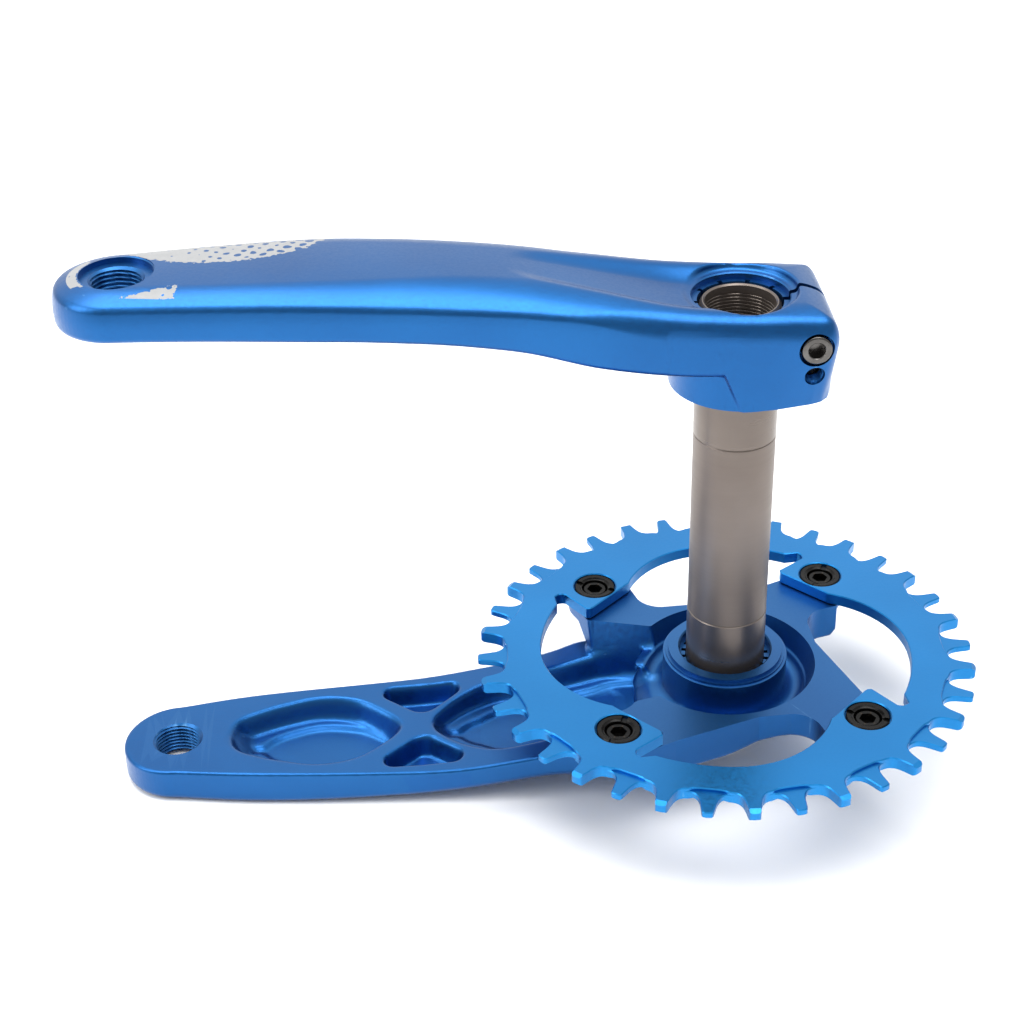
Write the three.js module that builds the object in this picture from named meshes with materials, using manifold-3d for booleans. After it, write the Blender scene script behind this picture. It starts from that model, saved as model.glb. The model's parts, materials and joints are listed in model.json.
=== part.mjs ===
// A one-by bicycle crankset: two crank arms, a hollow spindle, a chainring and its fasteners.
// Millimetres. The origin is the middle of the bottom bracket, on the spindle's axis.
// +Z runs along the spindle to the left crank arm. Both arms lie along -X.
import * as THREE from 'three';
import { mergeVertices } from 'three/addons/utils/BufferGeometryUtils.js';
import Module from 'manifold-3d';

const wasm = await Module();
wasm.setup();

// ---- driving dimensions ----

const crankLength = 170;
const hubGap = 94;
const chainline = 49.5;
const boltCircle = 104;
const boltCount = 4;
const clearance = 0.3;
const beyond = 60; // how far a cutter reaches past the faces that it cuts

const spindle = {
  radius: 12,
  bore: 9.2,
  rim: 10.6,
  mouth: 9.9,
  top: 71.6,
  bottom: -70.5,
  chamfer: 1.4,
  neck: 0.6,
  neckLength: 3,
};

const pedalHole = { thread: 7.15, seat: 10.1, seatDepth: 2 };

// Profiles along an arm are knots [x, value], which a smooth curve joins.
const leftArm = {
  endRadius: 18,
  halfWidth: [[-170, 18], [-150, 19.5], [-120, 21], [-100, 20.8], [-80, 19.8], [-50, 18.9], [-20, 19.4],
    [5, 20.3], [20, 20]],
  outerFace: [[-188, 87.3], [-150, 88.4], [-120, 88.9], [-100, 88.5], [-80, 87.5], [-60, 85.3], [-40, 81.7],
    [-20, 77.7], [0, 75], [26, 73]],
  innerFace: [[-188, 74.2], [-149, 74.7], [-110, 73.3], [-90, 71.4], [-75, 69.4], [-60, 66.5], [-41, 61.2],
    [-20, 58.4], [0, 57.8], [26, 57.6]],
  edgeRadius: [[-188, 3.5], [-120, 5], [-95, 8], [-70, 10], [-40, 7], [-20, 4.5], [5, 3.5], [20, 5], [26, 6]],
  crown: [[-188, 0.7], [-100, 0.9], [-60, 0.3], [5, 0.2], [26, 0.6]],
  innerRadius: 2.5,
};

// The scooped valley between the left arm's two ridges runs down into the hub's spotface.
const valley = {
  floor: [[-62, 84.9], [-45, 81.2], [-30, 77.3], [-18, 74.4], [-8, 73.6], [6, 73.5]],
  from: -62,
  to: 2,
  narrow: 3,
  wide: 12.5,
  wall: 4.5,
  wallHeight: 6,
};

const leftHub = {
  face: 73.5,
  spotface: 16,
  recess: 13.8,
  recessFloor: 71.5,
  top: 66,
  end: 25.5,
  endRounding: 6,
  halfWidth: 20,
  bossRadius: 19.6,
  cheekRadius: 30,
  slitWidth: 2,
  slitStart: 8,
};

// Pinch bolts, M5, one from each side of the slit.
const pinch = {
  x: 18.2,
  heights: [65, 56.7],
  sides: [-1, 1],
  shank: 2.4,
  hole: 2.7,
  head: 4.25,
  headHeight: 5,
  socketDepth: 2.6,
  recess: 5,
  seats: [14.6, 12.5],
  length: 26,
  hexAcross: 4,
};

const driveArm = {
  endRadius: 16.5,
  halfWidth: [[-170, 16.5], [-150, 19.4], [-130, 21.3], [-100, 23.4], [-80, 24.8], [-60, 25.3], [-30, 24.5],
    [0, 22]],
  innerFace: [[-187, -72.2], [-150, -71.4], [-100, -71.1], [-85, -70.3], [-68, -67.9], [-53, -65.1],
    [-40, -62.8], [-20, -61], [0, -60]],
  outerFace: [[-187, -82.6], [-150, -82.8], [-127, -82.3], [-100, -80.6], [-84, -78.6], [-66, -75.9],
    [-50, -73.2], [-30, -71.8], [0, -71.5]],
  outerRadius: 3.5,
  innerRadius: 1,
};

// Pockets milled into the drive arm's inner face. A wall slopes in to a fraction of the rim's width.
const teardrop = {
  stations: [-153, -150, -146, -140, -133, -126, -120, -113, -108, -104, -101],
  rim: [[-153, 0.5], [-148, 8.5], [-138, 13.2], [-126, 15.6], [-114, 13], [-105, 5.5], [-101, 0.5]],
  bed: [[-153, -72], [-146, -76], [-140, -77.6], [-113, -77.6], [-106, -75.5], [-101, -72]],
};
const channel = {
  stations: [-90, -86, -82, -76, -70, -62, -54, -46, -38, -30, -22, -12],
  rim: [[-90, 2], [-82, 11], [-72, 17], [-56, 18.5], [-40, 16.5], [-12, 15]],
  bed: [[-90, -72], [-82, -76.2], [-68, -74.2], [-50, -69.8], [-30, -67], [-12, -65.6]],
};
const pocketFoot = 0.62;
const trianglePocket = { deep: 5.5, at: -95 };

const driveHub = {
  outerFace: -71.5,
  outerRadius: 21,
  shoulderRadius: 28,
  collarRadius: 19,
  collarStep: 17.4,
  collarStepHeight: 1,
  collarBore: 14,
  collarBoreDepth: 5,
  dishRadius: 27.3,
  dishFloorRadius: 23.6,
  dishDepth: 6.3,
};

const spider = {
  depth: 12,
  tabRadius: 8.5,
  tabTaper: 6,
  taperStart: 34,
  taperEnd: 61,
  webTop: 8,
  boltSeat: 4,
};

const ring = {
  teeth: 36,
  toothPhase: 7.5,
  thickness: 4,
  bore: 56.8,
  tabLine: 44.7,
  tabBlend: 31,
  tabBlendTurn: 51.6,
  nutRecess: 0.5,
  narrowRecess: 1,
  narrowStart: 70.4,
  narrowWidth: 9.4,
};

// One tooth as [distance along the pitch circle, radius], counter-clockwise.
const tooth = [[-5.2, 68.1], [-3.4, 68.7], [-2.1, 70.4], [-1.3, 75.8], [-0.8, 76.2],
  [1.6, 76.2], [2.1, 75.6], [2.7, 71], [3.6, 69], [5, 68.1]];

const nut = {
  flange: 6.5,
  flangeHeight: 1.1,
  sunk: 0.2,
  barrel: 4.9,
  length: 6,
  slotWidth: 1.8,
  slotDepth: 0.7,
};

const bolt = {
  shank: 3.9,
  head: 6.5,
  headHeight: 2.2,
  headWeb: 0.4,
  hexAcross: 5,
  tipShort: 1.2,
  tipSocket: 3.5,
};

const ringTop = -chainline + ring.thickness / 2;
const ringBottom = -chainline - ring.thickness / 2;
const spiderFace = ringBottom - clearance;
const spiderBack = spiderFace - spider.depth;
const dishFloor = spiderFace - driveHub.dishDepth;
const boltRadius = boltCircle / 2;
const boltAngles = Array.from({ length: boltCount }, (_, i) => Math.PI / 4 + (i * 2 * Math.PI) / boltCount);
const boltPlaces = boltAngles.map((angle) => [boltRadius * Math.cos(angle), boltRadius * Math.sin(angle)]);

// ---- solids ----

function solid(geometry) {
  const bare = geometry.index ? geometry.clone() : mergeVertices(geometry);
  bare.deleteAttribute('normal');
  bare.deleteAttribute('uv');
  const merged = mergeVertices(bare, 1e-4);
  const vertProperties = new Float32Array(merged.attributes.position.array);
  const triVerts = new Uint32Array(merged.index.array);
  return new wasm.Manifold(new wasm.Mesh({ numProp: 3, vertProperties, triVerts }));
}

function flipped(geometry) {
  const copy = geometry.clone();
  const index = copy.index.array;
  for (let i = 0; i < index.length; i += 3) {
    [index[i], index[i + 1]] = [index[i + 1], index[i]];
  }
  return copy;
}

// A solid from a closed geometry, whichever way its faces were wound.
function outward(geometry) {
  const made = solid(geometry);
  return made.volume() > 0 ? made : solid(flipped(geometry));
}

function prism(outline, low, high) {
  const shape = new THREE.Shape(outline.map(([x, y]) => new THREE.Vector2(x, y)));
  const geometry = new THREE.ExtrudeGeometry(shape, { depth: high - low, bevelEnabled: false });
  return solid(geometry.translate(0, 0, low));
}

function cylinder(radius, low, high, [x, y] = [0, 0], segments = 48) {
  const geometry = new THREE.CylinderGeometry(radius, radius, high - low, segments);
  geometry.rotateX(Math.PI / 2);
  return solid(geometry.translate(x, y, (low + high) / 2));
}

function crossCylinder(radius, from, to, x, z) {
  const geometry = new THREE.CylinderGeometry(radius, radius, Math.abs(to - from), 20);
  return solid(geometry.translate(x, (from + to) / 2, z));
}

function hexPrism(across, low, high) {
  return cylinder(across / Math.sqrt(3), low, high, [0, 0], 6);
}

// A solid of revolution about Z. Its profile is a closed loop of [radius, z].
function lathe(profile, segments = 48) {
  const loop = [...profile, profile[0]].map(([radius, z]) => new THREE.Vector2(radius, z));
  const geometry = new THREE.LatheGeometry(loop, segments);
  return outward(geometry.rotateX(Math.PI / 2));
}

// A solid along X: one ring of [y, z] points at each station, with a flat cap at each end.
function loft(stations, section) {
  const rings = stations.map((x) => section(x).map(([y, z]) => [x, y, z]));
  const sides = rings[0].length;
  const index = [];
  for (let i = 0; i + 1 < rings.length; i++) {
    for (let j = 0; j < sides; j++) {
      const a = i * sides + j;
      const b = i * sides + ((j + 1) % sides);
      index.push(a, b, a + sides, b, b + sides, a + sides);
    }
  }
  const last = (rings.length - 1) * sides;
  for (let j = 1; j + 1 < sides; j++) {
    index.push(0, j + 1, j, last, last + j, last + j + 1);
  }
  const geometry = new THREE.BufferGeometry();
  geometry.setAttribute('position', new THREE.Float32BufferAttribute(rings.flat(2), 3));
  geometry.setIndex(index);
  return outward(geometry);
}

// ---- outlines and profiles ----

// A smooth curve through knots [x, value], read at any x.
function through(knots) {
  const slope = (i) => {
    const before = knots[Math.max(i - 1, 0)];
    const after = knots[Math.min(i + 1, knots.length - 1)];
    return (after[1] - before[1]) / (after[0] - before[0]);
  };
  return (x) => {
    const held = THREE.MathUtils.clamp(x, knots[0][0], knots[knots.length - 1][0]);
    let i = 0;
    while (i + 2 < knots.length && held > knots[i + 1][0]) i++;
    const [x0, v0] = knots[i];
    const [x1, v1] = knots[i + 1];
    const span = x1 - x0;
    const t = (held - x0) / span;
    const rise = (2 * t ** 3 - 3 * t ** 2 + 1) * v0 + (3 * t ** 2 - 2 * t ** 3) * v1;
    return rise + (t ** 3 - 2 * t ** 2 + t) * span * slope(i) + (t ** 3 - t ** 2) * span * slope(i + 1);
  };
}

function turned([x, y], angle) {
  return [x * Math.cos(angle) - y * Math.sin(angle), x * Math.sin(angle) + y * Math.cos(angle)];
}

function arc(cx, cy, radius, start, end, count) {
  return Array.from({ length: count + 1 }, (_, i) => {
    const angle = THREE.MathUtils.degToRad(start + ((end - start) * i) / count);
    return [cx + radius * Math.cos(angle), cy + radius * Math.sin(angle)];
  });
}

// A quarter of an outline repeated four times round the axis.
function fourfold(quarter) {
  return [0, 1, 2, 3].flatMap((i) => quarter.map((point) => turned(point, (i * Math.PI) / 2)));
}

// A rounded box section: half width, low and high faces, their corner radii, and the high face's crown.
function roundedSection(halfWidth, low, high, lowRadius, highRadius, crown) {
  const points = [];
  const corner = (y, z, radius, start) => {
    for (let i = 0; i <= 3; i++) {
      const angle = start + (i * Math.PI) / 6;
      points.push([y + radius * Math.cos(angle), z + radius * Math.sin(angle)]);
    }
  };
  const r1 = Math.min(lowRadius, halfWidth * 0.9);
  const r2 = Math.min(highRadius, halfWidth * 0.9);
  corner(halfWidth - r1, low + r1, r1, -Math.PI / 2);
  corner(halfWidth - r2, high - crown - r2, r2, 0);
  points.push([0, high]);
  corner(-halfWidth + r2, high - crown - r2, r2, Math.PI / 2);
  corner(-halfWidth + r1, low + r1, r1, Math.PI);
  return points;
}

// Stations along an arm: close together round its pedal end, then even.
function armStations(endRadius, last, count) {
  const round = [8, 20, 35, 50, 65, 80].map((angle) => THREE.MathUtils.degToRad(angle));
  const first = -crankLength + endRadius / 3;
  const even = Array.from({ length: count + 1 }, (_, i) => first + ((last - first) * i) / count);
  return [...round.map((angle) => -crankLength - endRadius * Math.cos(angle)), ...even];
}

// An arm's half width, with its pedal end rounded off.
function roundEnd(knots, endRadius) {
  const width = through(knots);
  return (x) => {
    const past = Math.max(-crankLength - x, 0);
    return width(x) * Math.sqrt(Math.max(1 - (past / endRadius) ** 2, 0.003));
  };
}

// ---- left crank arm ----

function leftCrankArm() {
  const { end, endRounding, halfWidth, top } = leftHub;
  const width = roundEnd(leftArm.halfWidth, leftArm.endRadius);
  const outer = through(leftArm.outerFace);
  const inner = through(leftArm.innerFace);
  const edge = through(leftArm.edgeRadius);
  const crown = through(leftArm.crown);
  const roundingStart = end - endRounding;
  const stations = [...armStations(leftArm.endRadius, roundingStart, 22), end - 2.5, end - 0.8, end];
  const arm = loft(stations, (x) => {
    const inset = Math.max(x - roundingStart, 0);
    const corner = endRounding - Math.sqrt(endRounding ** 2 - inset ** 2);
    return roundedSection(width(x) - corner, inner(x), outer(x), leftArm.innerRadius, edge(x), crown(x));
  });
  const cheek = arc(2, leftHub.cheekRadius - halfWidth, leftHub.cheekRadius, -90, -45, 6);
  const tip = [[end, cheek[cheek.length - 1][1] + 3]];
  const nearSide = [[-4, -halfWidth], ...cheek.filter(([x]) => x < end - 1), ...tip];
  const farSide = nearSide.map(([x, y]) => [x, -y]).reverse();
  const clamp = prism([...nearSide, ...farSide], hubGap / 2, top);
  const boss = cylinder(leftHub.bossRadius, hubGap / 2, top);
  return finishLeftHub(arm.add(clamp).add(boss), outer);
}

function finishLeftHub(arm, outer) {
  const { face, spotface, recess, recessFloor, slitStart, slitWidth } = leftHub;
  const above = face + beyond;
  let cut = arm.subtract(valleyCutter());
  cut = cut.subtract(cylinder(spotface, face, above));
  cut = cut.subtract(cylinder(recess, recessFloor, above));
  cut = cut.subtract(cylinder(spindle.radius + clearance, 0, above));
  const slit = new THREE.BoxGeometry(beyond, slitWidth, beyond);
  cut = cut.subtract(solid(slit.translate(slitStart + beyond / 2, 0, face)));
  pinch.heights.forEach((z, i) => {
    const side = pinch.sides[i];
    cut = cut.subtract(crossCylinder(pinch.hole, -beyond, beyond, pinch.x, z));
    cut = cut.subtract(crossCylinder(pinch.recess, side * pinch.seats[i], side * beyond, pinch.x, z));
  });
  const seat = outer(-crankLength) - pedalHole.seatDepth;
  cut = cut.subtract(cylinder(pedalHole.thread, 0, above, [-crankLength, 0], 24));
  return cut.subtract(cylinder(pedalHole.seat, seat, above, [-crankLength, 0], 32));
}

function valleyCutter() {
  const { from, to, narrow, wide, wall, wallHeight } = valley;
  const floor = through(valley.floor);
  const stations = Array.from({ length: 9 }, (_, i) => from + ((to - from) * i) / 8);
  return loft(stations, (x) => {
    const half = THREE.MathUtils.mapLinear(x, from, to, narrow, wide);
    const rim = floor(x) + wallHeight;
    return [[-half, floor(x)], [half, floor(x)], [half + wall, rim], [-half - wall, rim]];
  });
}

// ---- drive crank arm with its spider ----

// One quarter of the spider's outline, from the scoop beside a tab round to the next scoop.
function spiderQuarter() {
  const tab = boltRadius * Math.SQRT1_2;
  return [[6, -29.6], ...arc(15.2, -37.6, 8.6, 85, 10, 5), [25, -40.5],
    ...arc(tab, -tab, spider.tabRadius, 205, 385, 10), [38.6, -20]];
}

function driveCrankArm() {
  const { outerFace, outerRadius, shoulderRadius, dishRadius, dishFloorRadius } = driveHub;
  let arm = prism(fourfold(spiderQuarter()), spiderBack, spiderFace);
  arm = arm.subtract(tabTaperCutter());
  // The arm's root leaves a window between two of the tabs.
  const rootWindow = [[-64, 25.5], [-38.2, 23.4], [-19, 18.6], [-19, -16.4], [-36, -20.6], [-64, -27]];
  arm = arm.subtract(prism(rootWindow, spiderFace - 10, 0));
  const webTop = spiderFace - spider.webTop;
  arm = arm.add(lathe([[0, outerFace], [outerRadius, outerFace], [outerRadius + 4, outerFace + 3],
    [shoulderRadius, spiderBack + 3], [shoulderRadius, webTop], [0, webTop]]));
  arm = arm.add(driveArmBlade());
  arm = arm.subtract(lathe([[0, dishFloor], [dishFloorRadius, dishFloor], [dishRadius, spiderFace],
    [dishRadius, 0], [0, 0]]));
  return finishDriveHub(arm.add(hubCollar()));
}

// The tabs thin towards their tips on the outer side.
function tabTaperCutter() {
  const { taperStart, taperEnd, tabTaper } = spider;
  const outside = taperEnd + 9;
  const thin = spiderBack + tabTaper;
  return lathe([[taperStart, -beyond * 2], [taperStart, spiderBack], [taperEnd, thin], [outside, thin],
    [outside, -beyond * 2]]);
}

function hubCollar() {
  const { outerFace, collarRadius, collarStep, collarStepHeight } = driveHub;
  const inside = spindle.radius - 1;
  const top = -hubGap / 2;
  const step = top - collarStepHeight;
  const foot = collarRadius + 1.5;
  return lathe([[inside, outerFace + 1], [foot, outerFace + 1], [foot, dishFloor + 1],
    [collarRadius, dishFloor + 3], [collarRadius, step], [collarStep, step], [collarStep, top], [inside, top]]);
}

function driveArmBlade() {
  const { endRadius, outerRadius, innerRadius } = driveArm;
  const width = roundEnd(driveArm.halfWidth, endRadius);
  const inner = through(driveArm.innerFace);
  const outer = through(driveArm.outerFace);
  let blade = loft(armStations(endRadius, -4, 20), (x) =>
    roundedSection(width(x), outer(x), inner(x), outerRadius, innerRadius, 0));
  for (const side of [1, -1]) {
    const floor = inner(trianglePocket.at) - trianglePocket.deep;
    blade = blade.subtract(prism(triangle(side), floor, 0));
  }
  blade = blade.subtract(pocketCutter(teardrop, inner));
  return blade.subtract(pocketCutter(channel, inner));
}

// A cutter for a pocket along X, with sloping walls.
function pocketCutter({ stations, rim, bed }, face) {
  const rimWidth = through(rim);
  const bedHeight = through(bed);
  const open = spiderFace + 2;
  return loft(stations, (x) => {
    const half = Math.max(rimWidth(x), 0.4);
    const foot = half * pocketFoot;
    return [[-foot, bedHeight(x)], [foot, bedHeight(x)], [half, face(x)], [half, open], [-half, open],
      [-half, face(x)]];
  });
}

function triangle(side) {
  const corners = [...arc(-103.5, 16.6, 2.6, 215, 90, 4), ...arc(-85.5, 17.6, 2.6, 90, -35, 4),
    ...arc(-94.5, 9.6, 3.2, -40, -140, 4)];
  return side > 0 ? corners.reverse() : corners.map(([x, y]) => [x, -y]);
}

function finishDriveHub(arm) {
  const { collarBore, collarBoreDepth } = driveHub;
  const below = -beyond * 2;
  let cut = arm.subtract(cylinder(spindle.radius + clearance, below, 0));
  cut = cut.subtract(cylinder(collarBore, -hubGap / 2 - collarBoreDepth, 0));
  for (const place of boltPlaces) {
    cut = cut.subtract(cylinder(nut.barrel + clearance, below, 0, place, 16));
    cut = cut.subtract(cylinder(bolt.head + 0.8, below, spiderFace - spider.boltSeat, place, 20));
  }
  const seat = through(driveArm.outerFace)(-crankLength) + pedalHole.seatDepth / 2;
  cut = cut.subtract(cylinder(pedalHole.thread, below, 0, [-crankLength, 0], 24));
  return cut.subtract(cylinder(pedalHole.seat, below, seat, [-crankLength, 0], 32));
}

// ---- spindle ----

function hollowSpindle() {
  const { radius, bore, rim, mouth, top, bottom, chamfer, neck, neckLength } = spindle;
  const neckStart = top - neckLength;
  const outside = [[radius, bottom], [radius, neckStart], [radius - neck, neckStart],
    [radius - neck, top - chamfer / 2], [rim, top]];
  return lathe([...outside, [mouth, top], [bore, top - chamfer], [bore, bottom]], 40);
}

// ---- chainring ----

function ringOutline() {
  const points = [];
  for (let i = 0; i < ring.teeth; i++) {
    const middle = THREE.MathUtils.degToRad(ring.toothPhase + (i * 360) / ring.teeth);
    for (const [along, radius] of tooth) {
      const angle = middle + along / radius;
      points.push([radius * Math.cos(angle), radius * Math.sin(angle)]);
    }
  }
  return points;
}

function chainring() {
  let plate = prism(ringOutline(), ringBottom, ringTop);
  plate = plate.subtract(prism(fourfold(ringQuarter()), ringBottom - 1, ringTop + 1));
  const nutSeat = ringTop - nut.flangeHeight - ring.nutRecess;
  for (const place of boltPlaces) {
    plate = plate.subtract(cylinder(nut.barrel + clearance, ringBottom - 1, ringTop + 1, place, 16));
    plate = plate.subtract(cylinder(nut.flange + clearance, nutSeat, ringTop + 1, place, 20));
  }
  return narrowTeeth(plate);
}

// The inner edge over a quarter turn: the opening below, then the inner edge of the tab at its end.
function ringQuarter() {
  const { bore, tabLine, tabBlend, tabBlendTurn } = ring;
  const direction = -45 - tabBlendTurn;
  const blend = turned([bore - tabBlend, 0], THREE.MathUtils.degToRad(direction));
  const onTab = (u, v) => turned([u, v], -Math.PI / 4);
  return [...arc(-30.3, -47.9, 2.6, 150, 235, 4), ...arc(0, 0, bore, -119, direction, 8),
    ...arc(...blend, tabBlend, direction + 8, -22, 6), onTab(tabLine, -7), onTab(tabLine, 10.2),
    onTab(tabLine + 1, 11.5)];
}

// Every second tooth is thinned from both faces, so that it fits a chain's narrow links.
function narrowTeeth(plate) {
  const { toothPhase, narrowStart, narrowWidth, narrowRecess } = ring;
  const thickness = 2;
  const length = 12;
  let cut = plate;
  for (let i = 1; i < ring.teeth; i += 2) {
    const angle = THREE.MathUtils.degToRad(toothPhase + (i * 360) / ring.teeth);
    for (const side of [1, -1]) {
      const face = side > 0 ? ringTop : ringBottom;
      const box = new THREE.BoxGeometry(length, narrowWidth, thickness);
      box.translate(narrowStart + length / 2, 0, face + side * (thickness / 2 - narrowRecess));
      cut = cut.subtract(solid(box.rotateZ(angle)));
    }
  }
  return cut;
}

// ---- fasteners, each made about its own axis ----

function chainringNut() {
  const top = ringTop - nut.sunk;
  const low = top - nut.flangeHeight;
  let made = cylinder(nut.flange, low, top, [0, 0], 20);
  made = made.add(cylinder(nut.barrel, low - nut.length, low + 0.2, [0, 0], 16));
  made = made.subtract(cylinder(bolt.shank + clearance, low - nut.length - 1, ringTop + 1, [0, 0], 16));
  const slot = new THREE.BoxGeometry(nut.flange * 3, nut.slotWidth, nut.slotDepth * 2);
  return made.subtract(solid(slot.translate(0, 0, top)));
}

function chainringBolt() {
  const seat = spiderFace - spider.boltSeat - clearance;
  const headBottom = seat - bolt.headHeight;
  const head = cylinder(bolt.head, headBottom, seat, [0, 0], 20);
  const made = head.add(cylinder(bolt.shank, seat - 0.2, ringTop - bolt.tipShort, [0, 0], 16));
  const drive = hexPrism(bolt.hexAcross, headBottom - 1, seat - bolt.headWeb);
  return made.subtract(drive).subtract(hexPrism(bolt.hexAcross, ringTop - bolt.tipSocket, ringTop));
}

// A pinch bolt stands on +Z here, with its head's underside at 0.
function pinchBolt() {
  const head = cylinder(pinch.head, 0, pinch.headHeight, [0, 0], 24);
  const made = head.add(cylinder(pinch.shank, -pinch.length, 0.2, [0, 0], 20));
  return made.subtract(hexPrism(pinch.hexAcross, pinch.headHeight - pinch.socketDepth, pinch.headHeight + 1));
}

// ---- the assembly ----

const finishes = {
  anodised: { color: 0x1f6fc4, roughness: 0.42, metalness: 0.8 },
  ringBlue: { color: 0x3392dc, roughness: 0.35, metalness: 0.8 },
  steel: { color: 0x8c8078, roughness: 0.32, metalness: 0.95 },
  black: { color: 0x1b1a19, roughness: 0.4, metalness: 0.7 },
  chrome: { color: 0xb9b6b1, roughness: 0.2, metalness: 1 },
};

function mesh(name, made, finish) {
  const { vertProperties, triVerts } = made.getMesh();
  const geometry = new THREE.BufferGeometry();
  geometry.setAttribute('position', new THREE.Float32BufferAttribute(vertProperties, 3));
  geometry.setIndex(new THREE.Uint32BufferAttribute(triVerts, 1));
  geometry.computeVertexNormals();
  const node = new THREE.Mesh(geometry, new THREE.MeshStandardMaterial(finishes[finish]));
  node.name = name;
  return node;
}

const crankset = new THREE.Group();
crankset.add(mesh('left_crank_arm', leftCrankArm(), 'anodised'));
crankset.add(mesh('drive_crank_arm', driveCrankArm(), 'anodised'));
crankset.add(mesh('spindle', hollowSpindle(), 'steel'));
crankset.add(mesh('chainring', chainring(), 'ringBlue'));
boltPlaces.forEach(([x, y], i) => {
  const pair = [
    mesh(`chainring_nut_${i + 1}`, chainringNut(), 'black'),
    mesh(`chainring_bolt_${i + 1}`, chainringBolt(), 'black'),
  ];
  for (const piece of pair) {
    piece.position.set(x, y, 0);
    piece.rotation.z = boltAngles[i];
    crankset.add(piece);
  }
});
pinch.heights.forEach((z, i) => {
  const piece = mesh(`pinch_bolt_${i + 1}`, pinchBolt(), 'chrome');
  const side = pinch.sides[i];
  piece.position.set(pinch.x, side * (pinch.seats[i] + clearance), z);
  piece.rotation.x = (-side * Math.PI) / 2;
  crankset.add(piece);
});

export default crankset;
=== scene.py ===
"""A bicycle crankset: forged, anodised arms, a toothed chainring, a steel spindle and its fasteners.

Lengths are millimetres until a mesh is made, and metres after that. The frame is the CAD model's.
"""

import json
import math

import bmesh
import bpy
import numpy as np
import openvdb as vdb
from mathutils import Matrix, Vector


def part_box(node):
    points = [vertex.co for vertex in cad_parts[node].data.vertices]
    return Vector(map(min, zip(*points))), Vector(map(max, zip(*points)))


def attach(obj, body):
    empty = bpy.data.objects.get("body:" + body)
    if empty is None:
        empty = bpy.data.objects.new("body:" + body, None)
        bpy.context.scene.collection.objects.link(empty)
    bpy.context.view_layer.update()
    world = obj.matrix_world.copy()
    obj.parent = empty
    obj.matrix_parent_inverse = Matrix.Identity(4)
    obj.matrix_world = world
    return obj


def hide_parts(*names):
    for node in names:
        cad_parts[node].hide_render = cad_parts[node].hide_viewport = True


MM = 0.001
TAU = 2 * math.pi
MOST_TRIANGLES = 190000

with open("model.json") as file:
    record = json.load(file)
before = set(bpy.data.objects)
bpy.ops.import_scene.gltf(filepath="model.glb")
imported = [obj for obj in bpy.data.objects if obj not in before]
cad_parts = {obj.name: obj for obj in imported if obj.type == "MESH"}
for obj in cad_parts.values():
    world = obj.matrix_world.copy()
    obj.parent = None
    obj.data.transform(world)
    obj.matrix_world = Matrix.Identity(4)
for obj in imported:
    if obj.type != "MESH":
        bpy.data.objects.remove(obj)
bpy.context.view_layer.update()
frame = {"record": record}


def box_mm(node):
    low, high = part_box(node)
    return np.array(low) / MM, np.array(high) / MM


# ---- sizes read from the frame ----

LEFT_LOW, LEFT_HIGH = box_mm("left_crank_arm")
DRIVE_LOW, DRIVE_HIGH = box_mm("drive_crank_arm")
SPINDLE_LOW, SPINDLE_HIGH = box_mm("spindle")
RING_LOW, RING_HIGH = box_mm("chainring")
MOUNTS = {mount["name"]: mount for mount in frame["record"]["mounts"]}

CRANK = 170.0
HUB_FACE = LEFT_LOW[2]
SPINDLE_RADIUS = SPINDLE_HIGH[0]
RING_TOP = RING_HIGH[2]
RING_BOTTOM = RING_LOW[2]
TOUCH_GAP = 0.3
SPIDER_THICKNESS = 12.0
SPIDER_FACE = RING_BOTTOM - TOUCH_GAP
SPIDER_BACK = SPIDER_FACE - SPIDER_THICKNESS
LEFT_PEDAL_SEAT = MOUNTS["left_pedal_seat"]["pos_m"][2] / MM
DRIVE_PEDAL_SEAT = MOUNTS["drive_pedal_seat"]["pos_m"][2] / MM
BOLT_RADIUS = 52.0
BOLT_ANGLES = [math.radians(45 + 90 * i) for i in range(4)]
BOLT_PLACES = [(BOLT_RADIUS * math.cos(a), BOLT_RADIUS * math.sin(a), 0) for a in BOLT_ANGLES]


# ---- curves and plan distances ----


def through(knots):
    """A smooth curve through [x, value] knots, for arrays."""
    xs, vs = np.array(knots, float).T
    before, after = np.clip([np.arange(len(xs)) - 1, np.arange(len(xs)) + 1], 0, len(xs) - 1)
    slopes = (vs[after] - vs[before]) / (xs[after] - xs[before])

    def read(x):
        held = np.clip(x, xs[0], xs[-1])
        i = np.clip(np.searchsorted(xs, held) - 1, 0, len(xs) - 2)
        span = xs[i + 1] - xs[i]
        t = (held - xs[i]) / span
        value = (2 * t**3 - 3 * t**2 + 1) * vs[i] + (3 * t**2 - 2 * t**3) * vs[i + 1]
        return value + (t**3 - 2 * t**2 + t) * span * slopes[i] + (t**3 - t**2) * span * slopes[i + 1]

    return read


def smoothstep(low, high, value):
    t = np.clip((value - low) / (high - low), 0, 1)
    return t * t * (3 - 2 * t)


def arc(cx, cy, radius, start, end, count):
    angles = np.radians(np.linspace(start, end, count + 1))
    return [(cx + radius * math.cos(a), cy + radius * math.sin(a)) for a in angles]


def turned(points, angle):
    c, s = math.cos(angle), math.sin(angle)
    return [(x * c - y * s, x * s + y * c) for x, y in points]


def fourfold(quarter):
    return [point for i in range(4) for point in turned(quarter, i * TAU / 4)]


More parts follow.
